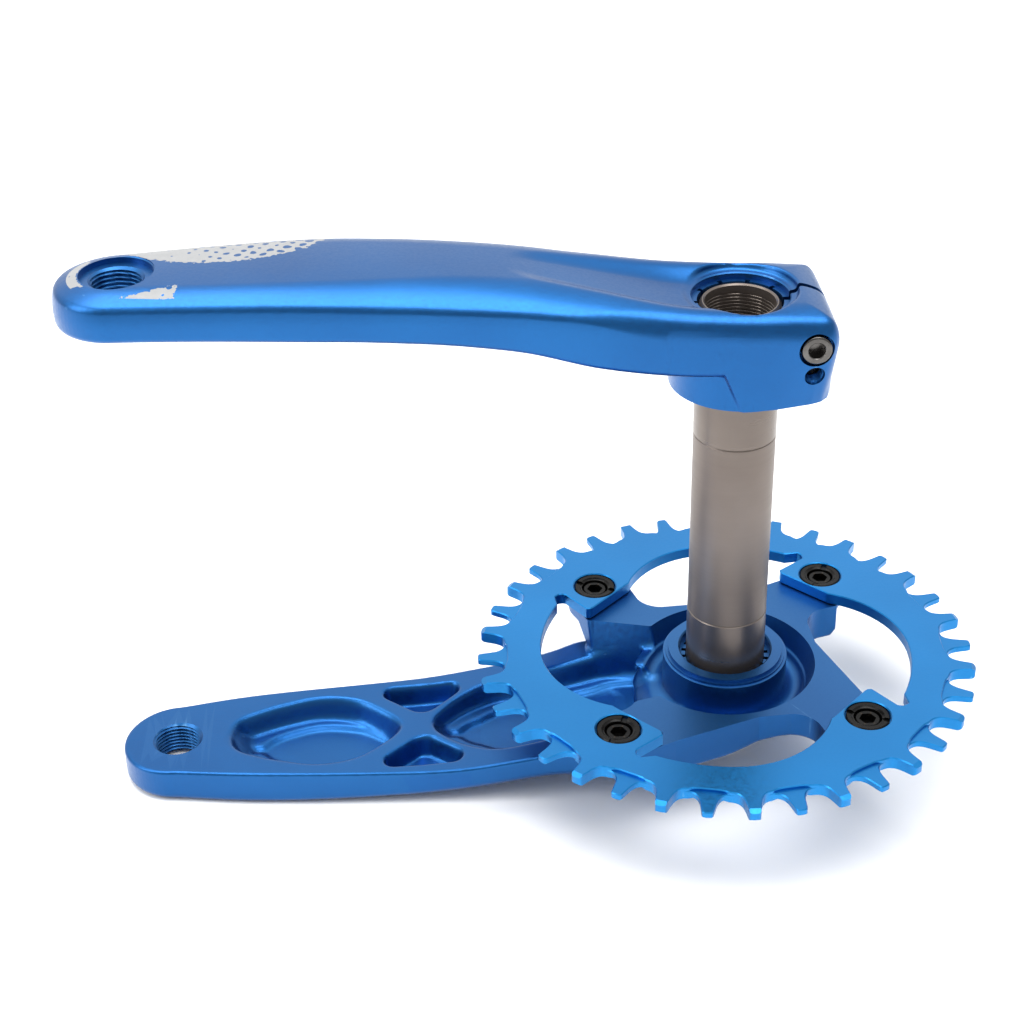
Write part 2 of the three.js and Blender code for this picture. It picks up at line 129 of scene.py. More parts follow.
def outline_distance(x, y, outline):
    """Signed distance from the points of a plan grid to a closed outline, negative inside."""
    best = np.full(np.broadcast(x, y).shape, 1e9)
    inside = np.zeros(best.shape, bool)
    points = np.asarray(outline, float)
    for (ax, ay), (bx, by) in zip(points, np.roll(points, -1, axis=0)):
        dx, dy = bx - ax, by - ay
        length = dx * dx + dy * dy
        if length < 1e-12:
            continue
        t = np.clip(((x - ax) * dx + (y - ay) * dy) / length, 0, 1)
        best = np.minimum(best, (x - ax - t * dx) ** 2 + (y - ay - t * dy) ** 2)
        if ay != by:
            crosses = (ay > y) != (by > y)
            inside ^= crosses & (x < ax + (y - ay) * dx / dy)
    distance = np.sqrt(best)
    return np.where(inside, -distance, distance)


# ---- distance fields: negative inside ----


def round_max(a, b, radius):
    """Where both hold, with the outer edge between them rounded."""
    flat = np.minimum(np.maximum(a, b), -radius)
    return flat + np.hypot(np.maximum(a + radius, 0), np.maximum(b + radius, 0))


def round_min(a, b, radius):
    """Where either holds, with the inner edge between them filleted."""
    return -round_max(-a, -b, radius)


class Grid:
    """A box of points, a step apart, that distances are worked out on."""

    def __init__(self, low, high, step):
        counts = [int(math.ceil((h - l) / step)) + 1 for l, h in zip(low, high)]
        axes = [l + step * np.arange(n) for l, n in zip(low, counts)]
        self.low, self.step = low, step
        self.x = axes[0][:, None, None]
        self.y = axes[1][None, :, None]
        self.z = axes[2][None, None, :]

    def plan(self, outline):
        return outline_distance(self.x[:, :, 0], self.y[:, :, 0], outline)[:, :, None]

    def radius(self):
        return np.hypot(self.x, self.y)

    def lathed(self, profile):
        """Distance to a solid of revolution about Z, whose profile is a closed loop of (radius, z)."""
        radii = np.arange(0, self.radius().max() + self.step, self.step)
        table = outline_distance(radii[:, None], self.z[0], profile)
        place = np.broadcast_to(self.radius() / self.step, (self.x.shape[0], self.y.shape[1], 1))
        low = np.clip(place.astype(int), 0, len(radii) - 2)[:, :, 0]
        share = (place[:, :, 0] - low)[:, :, None]
        return table[low] * (1 - share) + table[low + 1] * share

    def mesh(self, field):
        """Vertices in millimetres and quads on the field's zero surface."""
        band = 3 * self.step
        shape = (self.x.shape[0], self.y.shape[1], self.z.shape[2])
        values = np.clip(np.broadcast_to(field, shape), -band, band).astype(np.float32)
        grid = vdb.FloatGrid(band)
        grid.copyFromArray(np.ascontiguousarray(values))
        points, quads = grid.convertToQuads(isovalue=0.0)
        return points * self.step + np.array(self.low), quads


# ---- meshes and cutters ----


def linked(name, data):
    """Puts a mesh, a lamp or a camera into the scene."""
    made = bpy.data.objects.new(name, data)
    bpy.context.collection.objects.link(made)
    return made


def new_piece(name, vertices, faces):
    mesh = bpy.data.meshes.new(name)
    mesh.from_pydata((np.asarray(vertices) * MM).tolist(), [], [list(map(int, f)) for f in faces])
    mesh.update()
    return linked(name, mesh)


def fast_piece(name, vertices, quads):
    """A large quad mesh, wound so that its faces point out."""
    corners = vertices[quads]
    volume = 0.0
    for i, j, k in ((0, 1, 2), (0, 2, 3)):
        volume += np.einsum("ij,ij->", corners[:, i], np.cross(corners[:, j], corners[:, k]))
    if volume < 0:
        quads = quads[:, ::-1]
    mesh = bpy.data.meshes.new(name)
    mesh.vertices.add(len(vertices))
    mesh.vertices.foreach_set("co", (vertices * MM).astype(np.float32).ravel())
    mesh.loops.add(quads.size)
    mesh.loops.foreach_set("vertex_index", quads.astype(np.int32).ravel())
    mesh.polygons.add(len(quads))
    mesh.polygons.foreach_set("loop_start", np.arange(0, quads.size, 4, dtype=np.int32))
    mesh.update(calc_edges=True)
    return linked(name, mesh)


def outward(piece):
    """Turns a closed mesh's faces to point out."""
    bm = bmesh.new()
    bm.from_mesh(piece.data)
    bmesh.ops.recalc_face_normals(bm, faces=bm.faces)
    if bm.calc_volume(signed=True) < 0:
        bmesh.ops.reverse_faces(bm, faces=bm.faces)
    bm.to_mesh(piece.data)
    bm.free()
    return piece


def revolved(name, profile, segments=96, at=(0, 0, 0)):
    """A solid of revolution about Z, from a closed loop of (radius, z). Radius 0 is the axis."""
    vertices, rows = [], []
    for radius, z in profile:
        count = segments if radius else 1
        rows.append([len(vertices) + i % count for i in range(segments)])
        for i in range(count):
            a = TAU * i / segments
            vertices.append((at[0] + radius * math.cos(a), at[1] + radius * math.sin(a), z + at[2]))
    faces = []
    for low, high in zip(rows, rows[1:] + rows[:1]):
        for i in range(segments):
            j = (i + 1) % segments
            face = list(dict.fromkeys((low[i], low[j], high[j], high[i])))
            if len(face) > 2:
                faces.append(face)
    return outward(new_piece(name, vertices, faces))


def stacked(name, rings):
    """A closed mesh through rings of as many points each."""
    n, last = len(rings[0]), (len(rings) - 1) * len(rings[0])
    faces = [list(range(n))[::-1], list(range(last, last + n))]
    for row in range(0, last, n):
        faces += [[row + i, row + (i + 1) % n, row + n + (i + 1) % n, row + n + i] for i in range(n)]
    return outward(new_piece(name, np.vstack(rings), faces))


def prism(name, outline, low, high):
    """An outline in plan, from one height to another."""
    return stacked(name, [[(x, y, z) for x, y in outline] for z in (low, high)])


def threaded_plug(name, radius, depth, pitch, low, high, segments=72, per_turn=10):
    """A plug with a screw thread of that depth on it, which cuts a threaded hole."""
    rows = round((high - low) / pitch * per_turn)
    heights = np.linspace(low, high, rows + 1)
    angles = TAU * np.arange(segments) / segments
    phase = (heights[:, None] / pitch - angles[None, :] / TAU) % 1.0
    ridge = np.clip(1.6 * np.abs(2 * phase - 1) - 0.3, 0, 1)
    radii = radius - depth * ridge
    z = np.repeat(heights[:, None], segments, 1)
    vertices = np.stack([radii * np.cos(angles), radii * np.sin(angles), z], -1).reshape(-1, 3)
    top_ring = rows * segments
    around = [(j, (j + 1) % segments) for j in range(segments)]
    faces = [[row + j, row + k, row + segments + k, row + segments + j]
             for row in range(0, top_ring, segments) for j, k in around]
    bottom, top = len(vertices), len(vertices) + 1
    for j, k in around:
        faces += [[bottom, k, j], [top, top_ring + j, top_ring + k]]
    return outward(new_piece(name, np.vstack([vertices, [[0, 0, low], [0, 0, high]]]), faces))


def placed(piece, matrix):
    piece.data.transform(matrix)
    return piece


def moved_mm(x, y, z):
    return Matrix.Translation(Vector((x, y, z)) * MM)


def baked(piece):
    """Makes a piece's modifiers part of its mesh."""
    bpy.context.view_layer.update()
    evaluated = piece.evaluated_get(bpy.context.evaluated_depsgraph_get())
    made = bpy.data.meshes.new_from_object(evaluated)
    piece.modifiers.clear()
    piece.data = made
    return piece


def combine(piece, others, operation):
    """Joins or cuts a closed mesh with others, which are used up."""
    for other in others:
        modifier = piece.modifiers.new(operation, "BOOLEAN")
        modifier.operation = operation
        modifier.solver = "MANIFOLD"
        modifier.object = other
        baked(piece)
        bpy.data.objects.remove(other)


def cut(piece, *cutters):
    combine(piece, cutters, "DIFFERENCE")


def join(piece, *others):
    combine(piece, others, "UNION")


def shade(piece, angle=38):
    """Smooth shading, with edges above an angle kept sharp."""
    mesh = piece.data
    mesh.polygons.foreach_set("use_smooth", np.ones(len(mesh.polygons), bool))
    mesh.set_sharp_from_angle(angle=math.radians(angle))
    modifier = piece.modifiers.new("flat faces stay flat", "WEIGHTED_NORMAL")
    modifier.mode = "FACE_AREA_WITH_ANGLE"
    modifier.keep_sharp = True
    return baked(piece)


def thinned(piece, triangles):
    """Merges faces on the flatter stretches, down to about that many triangles."""
    now = sum(len(p.vertices) - 2 for p in piece.data.polygons)
    if now <= triangles:
        return piece
    modifier = piece.modifiers.new("thin", "DECIMATE")
    modifier.ratio = triangles / now
    return baked(piece)


# ---- the arms' shared shapes ----

EVERYWHERE = [(-300, -99), (99, -99), (99, 99), (-300, 99)]
PEDAL_PLACE = (-CRANK, 0, 0)
PEDAL_PITCH = 1.27
PEDAL_THREAD = 7.15
PEDAL_THREAD_DEPTH = 0.75
PEDAL_SEAT_RADIUS = 10.1
KEY_SIZE = 1.3
LEFT_KEYS = 10
DRIVE_KEYS = 24


def arm_outline(width, end_radius, last, corner):
    """An arm in plan: a round pedal end, sides that follow a width, and rounded corners at the hub."""
    half = float(width(np.array(-CRANK)))
    side = [(-CRANK - end_radius * math.cos(a), half * math.sin(a)) for a in np.radians(range(3, 88, 5))]
    side += [(x, float(width(np.array(x)))) for x in np.arange(-CRANK, last - corner, 3.0)]
    edge = float(width(np.array(last - corner)))
    side += arc(last - corner, edge - corner, corner, 90, 0, 6)
    return side + [(x, -y) for x, y in reversed(side)]


def slope_of(height, step):
    gx, gy = np.gradient(height[:, :, 0], step)
    return np.sqrt(1 + gx**2 + gy**2)[:, :, None]


def blurred(height, step, radius):
    """A plan of heights with its creases softened over a radius."""
    taps = np.arange(-int(3 * radius / step), int(3 * radius / step) + 1)
    weights = np.exp(-0.5 * (taps * step / radius) ** 2)
    weights /= weights.sum()
    out = height[:, :, 0]
    for axis in (0, 1):
        pad = [(0, 0), (0, 0)]
        pad[axis] = (len(taps) // 2,) * 2
        wide = np.pad(out, pad, mode="edge")
        out = np.apply_along_axis(lambda line: np.convolve(line, weights, "valid"), axis, wide)
    return out[:, :, None]


# ---- left crank arm ----

LEFT_END_RADIUS = -CRANK - LEFT_LOW[0]
LEFT_HUB_END = LEFT_HIGH[0]
LEFT_WIDTH = through([(-170, 18), (-150, 19.8), (-120, 22), (-100, 22.3), (-80, 21.8), (-50, 21),
                      (-20, 20.6), (5, 21.4), (20, 21.4)])
LEFT_OUTER = through([(-188, 87.3), (-150, 88.4), (-120, 88.9), (-100, 88.5), (-80, 87.5), (-60, 85.3),
                      (-40, 81.7), (-20, 77.9), (0, 76), (14, 75.8), (26, 75.2)])
LEFT_INNER = through([(-188, 74.2), (-149, 74.9), (-110, 74.1), (-90, 72.5), (-75, 70.5), (-60, 67.6),
                      (-41, 61.9), (-20, 58.4), (0, 57.8), (26, 57.6)])
LEFT_BEVEL = through([(-188, 2.6), (-150, 2.8), (-120, 3.4), (-95, 4.6), (-75, 5.7), (-52, 5.6),
                      (-36, 4.4), (-20, 3.2), (5, 3.2), (14, 4.2), (26, 5.2)])
BEVEL_TILT = math.radians(40)
LEFT_CORNER = 5
LEFT_CROWN = through([(-188, 0.7), (-100, 0.9), (-60, 0.3), (5, 0.2), (26, 0.6)])
VALLEY_FLOOR = through([(-66, 86.2), (-58, 84.2), (-45, 80.9), (-30, 77), (-18, 74.2), (-8, 73.5), (6, 73.5)])
VALLEY_RIM = through([(-66, 5), (-60, 9), (-40, 12.6), (-20, 15.3), (0, 16.5)])
SPOTFACE = 73.5
SPOTFACE_RADIUS = 16.0
RECESS_FLOOR = 71.5
RECESS_RADIUS = 13.8
BOSS_RADIUS = 19.6
CLAMP_TOP = 66


def left_side(grid):
    """The blade's side, which draws in towards the outer face and a little towards the inner one."""
    x, z = grid.x, grid.z
    side = grid.plan(arm_outline(LEFT_WIDTH, LEFT_END_RADIUS, LEFT_HUB_END, LEFT_CORNER))
    shoulder = 9.5
    upper = np.clip((z - LEFT_OUTER(x) + shoulder) / shoulder, 0, 1.2)
    lower = np.maximum((LEFT_OUTER(x) + LEFT_INNER(x)) / 2 - z, 0) / 7
    barrel = 1.6 * upper**2 * (1 - 0.7 * smoothstep(-45, -12, x))
    return side + (barrel + np.minimum(0.35 * lower**2, 0.8))


def left_outer_face(grid, step):
    """The outer face, slightly crowned, with the valley scooped between its two ridges."""
    x, across = grid.x, np.abs(grid.y)
    face = LEFT_OUTER(x) - LEFT_CROWN(x) * (across / LEFT_WIDTH(x)) ** 2
    depth = np.maximum(LEFT_OUTER(x) - VALLEY_FLOOR(x), 0)
    depth = depth * smoothstep(-70, -56, x) * (1 - smoothstep(3, 13, x))
    face = face - depth * (1 - smoothstep(0.42, 1.0, across / VALLEY_RIM(x)))
    return (grid.z - face) / slope_of(face, step)


def left_inner_face(grid, step):
    face = LEFT_INNER(grid.x) + 0 * grid.y
    return (face - grid.z) / slope_of(face, step)


def clamp_walls(grid):
    """The clamp in plan, wider at its outer end than at its inner one."""
    ahead = [(-250, -30), (-34, -30)]
    top = ahead + [(-22, -20.5)] + arc(LEFT_HUB_END - LEFT_CORNER, -15.4, LEFT_CORNER, -90, 0, 6)
    low = ahead + [(-22, -20), (1.5, -19.8), (8.2, -18.9), (17.5, -16.0), (22.6, -13.0), (24.6, -9.5)]
    wide, narrow = (grid.plan(half + [(px, -py) for px, py in reversed(half)]) for half in (top, low))
    rise = smoothstep(HUB_FACE - 14, HUB_FACE + 26, grid.z)
    return narrow * (1 - rise) + wide * rise


def left_forging(step):
    grid = Grid((-190, -23, HUB_FACE - 2), (28, 23, 91), step)
    x, z = grid.x, grid.z
    above = left_outer_face(grid, step)
    walls = clamp_walls(grid)
    side = round_max(left_side(grid), walls, 0.8)
    bevel = (side + LEFT_BEVEL(x)) * math.sin(BEVEL_TILT) + above * math.cos(BEVEL_TILT)
    blade = round_max(round_max(side, bevel, 1.0 + 3 * smoothstep(-50, -22, x)), above, 3.2)
    blade = round_max(blade, left_inner_face(grid, step), 2.0)
    # The clamp starts at a slanting edge, and the boss stands round the spindle.
    edge_x, edge_z, lean = -6.5, 57.5, 0.43
    start = edge_x + lean * (edge_z - z)
    ends = np.maximum(HUB_FACE - 1.5 - z, z - CLAMP_TOP)
    clamp = round_max(round_max(walls, start - x, 0.8), ends, 0.6)
    boss = np.maximum(grid.radius() - BOSS_RADIUS, ends)
    body = round_min(np.minimum(blade, clamp), boss, 0.8)
    spot = round_max(grid.radius() - SPOTFACE_RADIUS, SPOTFACE - z, 1.5)
    return grid.mesh(round_max(body, -spot, 0.8))


def splined_bore(name, radius, notch, count, low, high):
    """A bore's cutter: a cylinder with a ring of square keys on it."""
    outline = []
    for i in range(count):
        middle = TAU * i / count
        half = notch / 2 / radius
        deep = radius + notch
        outline += [(radius * math.cos(middle + a), radius * math.sin(middle + a))
                    for a in np.linspace(half - TAU / count + 0.01, -half, 7)]
        outline += [(deep * math.cos(middle + a), deep * math.sin(middle + a)) for a in (-half, half)]
        outline += [(radius * math.cos(middle + half), radius * math.sin(middle + half))]
    return prism(name, outline, low, high)


def chamfered_bore(name, radius, low, rim, chamfer, at=(0, 0, 0), segments=96):
    """A cutter for a blind bore whose mouth at the height rim has a small chamfer."""
    top = rim + 30
    flare = radius + chamfer
    profile = [(0, low), (radius, low), (radius, rim - chamfer), (flare, rim), (flare, top), (0, top)]
    return revolved(name, profile, segments, at)


def pedal_thread(low, high):
    """A cutter for a pedal's threaded hole."""
    plug = threaded_plug("thread", PEDAL_THREAD + 0.35, PEDAL_THREAD_DEPTH, PEDAL_PITCH, low, high)
    return placed(plug, moved_mm(*PEDAL_PLACE))


def pedal_mouth(start, end, flare, top):
    """A cutter for the countersink round a pedal's thread."""
    return revolved("mouth", [(0, top), (0, start), (PEDAL_THREAD - 0.3, start), (PEDAL_THREAD + flare, end),
                              (PEDAL_THREAD + flare, top)], 72, PEDAL_PLACE)


PINCH_HEAD = 5.0
PINCH_PITCH = 0.8
PINCH = []
for node, way in (("pinch_bolt_1", -1), ("pinch_bolt_2", 1)):
    low, high = box_mm(node)
    centre = (low + high) / 2
    outer_end = low[1] if way < 0 else high[1]
    PINCH.append({"node": node, "way": way, "x": centre[0], "z": centre[2],
                  "under_head": outer_end - way * PINCH_HEAD})


def crosswise(piece, bolt):
    """Turns something made along Z to lie along a pinch bolt's axis."""
    turn = Matrix.Rotation(-bolt["way"] * math.pi / 2, 4, "X")
    return placed(piece, moved_mm(bolt["x"], 0, bolt["z"]) @ turn)


def pinch_hole(bolt):
    """Cutters for a pinch bolt's counterbore, its threaded hole and the hole's far rim."""
    seat = abs(bolt["under_head"]) - TOUCH_GAP
    head = revolved("head", [(0, seat), (5.0, seat), (5.0, 40), (0, 40)], 72)
    hole = threaded_plug("hole", 2.75, 0.35, PINCH_PITCH, -40, seat + 0.5, 36, 8)
    far_rim = revolved("far_rim", [(0, -40), (2.9, -40), (2.9, -17.9), (2.3, -17.1), (0, -17.1)], 48)
    return [crosswise(cutter, bolt) for cutter in (head, hole, far_rim)]


def left_arm(step):
    arm = fast_piece("left_arm_forging", *left_forging(step))
    seat = LEFT_PEDAL_SEAT
    cut(arm,
        prism("slab", EVERYWHERE, HUB_FACE - 20, HUB_FACE),
        chamfered_bore("recess", RECESS_RADIUS, RECESS_FLOOR, SPOTFACE, 0.35),
        splined_bore("splines", SPINDLE_RADIUS + 0.12, KEY_SIZE, LEFT_KEYS, 40, RECESS_FLOOR + 5),
        prism("slit", [(9, -1), (60, -1), (60, 1), (9, 1)], 0, 120),
        chamfered_bore("seat", PEDAL_SEAT_RADIUS, seat, seat + 1.9, 0.3, PEDAL_PLACE),
        pedal_thread(70, seat + 1),
        pedal_mouth(seat - 0.7, seat + 0.05, 0.6, 99),
        *pinch_hole(PINCH[0]), *pinch_hole(PINCH[1]))
    return shade(thinned(arm, MOST_TRIANGLES))


# ---- drive crank arm with its spider ----

DRIVE_END_RADIUS = -CRANK - DRIVE_LOW[0]
DRIVE_WIDTH = through([(-170, 16.4), (-150, 19.4), (-130, 21.3), (-100, 23.4), (-80, 24.8), (-60, 25.4),
                       (-50, 26.8), (-43, 28.6), (-35, 28), (-24, 24), (0, 22)])
DRIVE_INNER = through([(-187, -72.2), (-150, -71.4), (-100, -71.1), (-85, -70.3), (-68, -67.9), (-53, -65.1),
                       (-40, -62.8), (-20, -61), (0, -60)])
DRIVE_OUTER = through([(-187, -82.6), (-150, -82.8), (-127, -82.3), (-100, -80.6), (-84, -78.6), (-66, -75.9),
                       (-50, -73.2), (-30, -71.8), (0, -71.5)])
TEARDROP_ENDS = (-153.6, -101)
TEARDROP_SLOPE = -154.5
TEARDROP_RIM = through([(-153.6, 0.3), (-152.9, 3.8), (-150.6, 7.2), (-146, 9.8), (-138, 13.0), (-126, 15.8),
                        (-114, 13.4), (-105, 6.2), (-102, 2.6), (-101, 0.3)])
TEARDROP_BED = -79.2
TEARDROP_LEDGE = through([(-144, 0.5), (-141, 3.8), (-136, 6.6), (-126, 9.3), (-114, 7.4), (-107, 3),
                          (-104, 0.5)])
CHANNEL_ENDS = (-90.8, 0)
CHANNEL_SLOPE = -91.8
CHANNEL_RIM = through([(-90.8, 0.3), (-89.6, 3.6), (-82, 11.2), (-72, 16.4), (-62, 17), (-53, 16.8),
                       (-45, 17.8), (-36, 19.6), (-10, 22)])
CHANNEL_BED = through([(-90, -76.2), (-82, -76.8), (-68, -76), (-50, -72.6), (-30, -70.6), (-12, -69)])
CHANNEL_LEDGE = through([(-83, 0.5), (-80, 3.4), (-76, 5.6), (-71, 8.3), (-63, 9.6), (-54, 9.6), (-42, 11),
                         (-34, 13.2), (-24, 12.6), (-10, 12)])
HUB_OUTER = DRIVE_LOW[2] + 11.3
WEB_TOP = -58.6
DISH_FLOOR = -61.2
COLLAR_TOP = DRIVE_HIGH[2]
COLLAR_RADIUS = 19.0
BOLT_SEAT = SPIDER_FACE - 4


def closed_rim(rim, start, end, count=48):
    """A pocket's rim in plan, from its half width along X."""
    share = (1 - np.cos(np.linspace(0, math.pi, count))) / 2
    xs = start + (end - start) * share
    top = [(float(px), float(rim(px))) for px in xs]
    return top + [(px, -py) for px, py in reversed(top)]


def web_triangle(side):
    """One of the two small pockets between the teardrop and the channel."""
    corners = (arc(-103.2, 16.4, 3.0, 225, 95, 7) + arc(-85.2, 16.4, 3.2, 88, -40, 7)
               + arc(-93.8, 11.8, 5.6, -42, -135, 9))
    return [(px, side * py) for px, py in corners]


def pressed_pocket(grid, height, rim, ends, slope_start, ledge, bed):
    """Presses a pocket into the inner face: steep sides, a sloping pedal end, a low step to its bed."""
    into = -grid.plan(closed_rim(rim, *ends))
    wall = DRIVE_INNER(grid.x) - np.minimum(2.9 * into, 0.95 * (grid.x - slope_start))
    shelf = bed + 1.3 * np.clip(np.abs(grid.y) - ledge, 0, 1)
    return np.where(into > 0, np.minimum(height, np.maximum(wall, shelf)), height)


def spider_quarter():
    """A quarter of the spider in plan, round one tab."""
    tab = BOLT_RADIUS / math.sqrt(2)
    return ([(6, -29.6)] + arc(15.2, -37.6, 8.6, 85, 10, 10) + [(25, -40.5)]
            + arc(tab, -tab, 8.5, 205, 385, 20) + [(38.6, -20)])


def drive_inner_face(grid, step):
    """The drive arm's inner face, with its pockets pressed into it."""
    x = grid.x
    face = DRIVE_INNER(x) + 0 * grid.y
    height = pressed_pocket(grid, face, TEARDROP_RIM, TEARDROP_ENDS, TEARDROP_SLOPE, TEARDROP_LEDGE(x),
                            TEARDROP_BED)
    height = pressed_pocket(grid, height, CHANNEL_RIM, CHANNEL_ENDS, CHANNEL_SLOPE, CHANNEL_LEDGE(x),
                            CHANNEL_BED(x))
    height = blurred(height, step, 0.55)
    for way in (1, -1):
        into = -grid.plan(web_triangle(way))
        pit = round_max(face - 3.4 * into, face - 6.4, 2.0)
        height = np.where(into > 0, np.minimum(height, pit), height)
    height = blurred(height, step, 0.4)
    return (grid.z - height) / slope_of(height, step)


def drive_outer_face(grid, step):
    x = grid.x
    crown = 2.6 * smoothstep(-108, -84, x) * (1 - smoothstep(-36, -14, x))
    back = DRIVE_OUTER(x) - crown * (1 - (np.abs(grid.y) / DRIVE_WIDTH(x)) ** 2)
    return (back - grid.z) / slope_of(back, step)


def spider_arms(grid):
    """The four arms to the chainring, thinner at their tabs, with a window over the arm's root."""
    x, y, z, radius = grid.x, grid.y, grid.z, grid.radius()
    rear = SPIDER_BACK + 7 * np.clip((radius - 46) / 6, 0, 1)
    rear = rear + 3.4 * smoothstep(-6, 15, x) * (1 - smoothstep(-30, -8, y))
    root = 1 - smoothstep(-14, -4, x)
    rear = rear - 9 * root * (1 - smoothstep(38, 46, radius)) * smoothstep(4, 10, y)
    spider = round_max(grid.plan(fourfold(spider_quarter())), rear - z, 1.4)
    window = grid.plan([(-80, 26), (-38.2, 23.4), (-24, 19.7), (-14, 17), (-12, -14), (-20, -16.4),
                        (-36, -20.6), (-80, -30)])
    spider = round_max(spider, -window - 0.25 * (SPIDER_FACE - z), 0.7)
    return np.maximum(spider, z - (SPIDER_FACE + 1.2))


def hub_web(grid):
    """The bowl under the dish, deeper on the arm's side, where it joins the root."""
    web = grid.lathed([(-5, HUB_OUTER), (16.5, HUB_OUTER), (18, HUB_OUTER + 1.5), (20.5, -65), (25.5, -61.6),
                       (28.5, -59.2), (26.0, WEB_TOP), (-5, WEB_TOP)])
    root = grid.lathed([(-5, -70), (27, -69), (29, -66), (28, -63), (26.0, WEB_TOP), (-5, WEB_TOP)])
    return np.minimum(web, np.maximum(root, grid.x + 14))


def hub_dish(grid):
    """The round hollow between the collar and the spider."""
    curve = arc(21.4, DISH_FLOOR + 3.6, 3.6, -90, -35, 6)
    return grid.lathed([(-5, DISH_FLOOR)] + curve + [(24.9, DISH_FLOOR + 2.6), (25.5, DISH_FLOOR + 2.9),
                                                     (27.9, SPIDER_FACE), (28.5, -44), (-5, -44)])


def dish_mouth(grid):
    """Where the dish opens into the arm's channel."""
    mouth = grid.plan([(-48, -15), (-15, -12), (-13, 2), (-24, 6.5), (-34, 12), (-48, 11)])
    fall = 9.4 * (1 - smoothstep(-34, -20, grid.x))
    return round_max(mouth, DISH_FLOOR - fall - grid.z, 2.5)


def drive_forging(step):
    grid = Grid((-189, -48, -84.5), (48, 48, COLLAR_TOP + 1.5), step)
    side = grid.plan(arm_outline(DRIVE_WIDTH, DRIVE_END_RADIUS, 6, 8))
    blade = round_max(side, drive_outer_face(grid, step), 2.6)
    blade = round_max(blade, drive_inner_face(grid, step), 0.9)
    body = round_min(round_min(blade, hub_web(grid), 2.2), spider_arms(grid), 2.0)
    body = round_max(body, -hub_dish(grid), 0.35)
    body = round_max(body, -dish_mouth(grid), 2.0)
    collar = round_max(grid.radius() - COLLAR_RADIUS, grid.z - COLLAR_TOP - 6, 0.3)
    collar = np.maximum(collar, HUB_OUTER + 1 - grid.z)
    return grid.mesh(round_min(body, collar, 3.2))


def drive_arm(step):
    arm = fast_piece("drive_arm_forging", *drive_forging(step))
    top, seat = COLLAR_TOP, DRIVE_PEDAL_SEAT
    inner = float(DRIVE_INNER(np.array(-CRANK)))
    through_face = SPIDER_FACE + 4
    hole = [(0, -99), (7.3, -99), (7.3, BOLT_SEAT), (5.2, BOLT_SEAT), (5.2, through_face), (0, through_face)]
    cut(arm,
        revolved("trim", [(19.6, SPIDER_FACE), (120, SPIDER_FACE), (120, -40), (19.6, -40)], 96),
        prism("top", EVERYWHERE, top, -20),
        revolved("step", [(17.4, top - 1), (21, top - 1), (21, -20), (17.4, -20)], 128),
        revolved("groove", [(18.3, top - 1.7), (21, top - 2.3), (21, -20), (18.3, -20)], 128),
        chamfered_bore("collar_bore", 14.0, top - 3, top, 0.4, segments=128),
        splined_bore("drive_splines", SPINDLE_RADIUS + 0.15, KEY_SIZE, DRIVE_KEYS, -90, top),
        *[revolved("bolt_hole", hole, 48, place) for place in BOLT_PLACES],
        revolved("seat", [(0, -99), (PEDAL_SEAT_RADIUS, -99), (PEDAL_SEAT_RADIUS, seat), (0, seat)], 96,
                 PEDAL_PLACE),
        pedal_thread(-90, -62),
        pedal_mouth(inner - 0.75, inner + 0.2, 0.75, -60))
    return shade(thinned(arm, MOST_TRIANGLES))


# ---- chainring ----

TEETH = 36
TOOTH_PHASE = 7.5
WIDE_TOOTH = [(-5.0, 68.15), (-3.5, 68.7), (-2.3, 70.2), (-1.75, 72.5), (-1.3, 75.6), (-0.8, 76.2),
              (1.5, 76.2), (2.1, 75.6), (2.45, 73.2), (2.8, 71), (3.7, 69), (5.0, 68.2)]
SCALLOP = [(-5.6, 68.0), (-4.2, 67.3), (0, 67.1), (4.2, 67.3), (5.6, 68.0)]
RING_BORE = 56.8
RING_CHAMFER = 0.3


def cornered(outline, rounds):
    """Cuts the corners of a closed outline, again and again, into curves."""
    points = np.asarray(outline, float)
    for _ in range(rounds):
        after = np.roll(points, -1, axis=0)
        points = np.stack([0.75 * points + 0.25 * after, 0.25 * points + 0.75 * after], 1).reshape(-1, 2)
    return [tuple(p) for p in points]


def toothed(narrow_shape):
    """The ring's outer outline, with its narrow teeth drawn by narrow_shape."""
    points = []
    for i in range(TEETH):
        middle = math.radians(TOOTH_PHASE + i * 360 / TEETH)
        for along, radius in (narrow_shape if i % 2 else WIDE_TOOTH):
            a = middle + along / radius
            points.append((radius * math.cos(a), radius * math.sin(a)))
    return points


def layered(name, outline, layers):
    """A body from one outline at several heights, each [z, how far the outline grows]."""
    points = np.asarray(outline, float)
    ahead = np.roll(points, -1, axis=0) - points
    ahead /= np.linalg.norm(ahead, axis=1)[:, None]
    behind = np.roll(ahead, 1, axis=0)
    normal = np.stack([ahead[:, 1] + behind[:, 1], -ahead[:, 0] - behind[:, 0]], 1)
    normal /= np.maximum(np.einsum("ij,ij->i", normal, normal) / 2, 0.6)[:, None]
    area = np.sum(points[:, 0] * np.roll(points[:, 1], -1) - points[:, 1] * np.roll(points[:, 0], -1))
    normal *= 1 if area > 0 else -1
    return stacked(name, [[(*at, z) for at in points + grown * normal] for z, grown in layers])


def ring_opening():
    """The chainring's inner edge: the bore, and the tabs that reach in to the bolts."""
    blend = turned([(RING_BORE - 31, 0)], math.radians(-96.6))[0]
    tab = turned([(44.7, -7), (44.7, 0), (44.7, 9.6), (44.9, 10.6), (45.9, 11.6)], -math.pi / 4)
    quarter = (arc(-30.3, -47.9, 2.6, 150, 235, 6) + arc(0, 0, RING_BORE, -119, -96.6, 16)
               + arc(*blend, 31, -88.6, -22, 14) + tab)
    return fourfold(quarter)


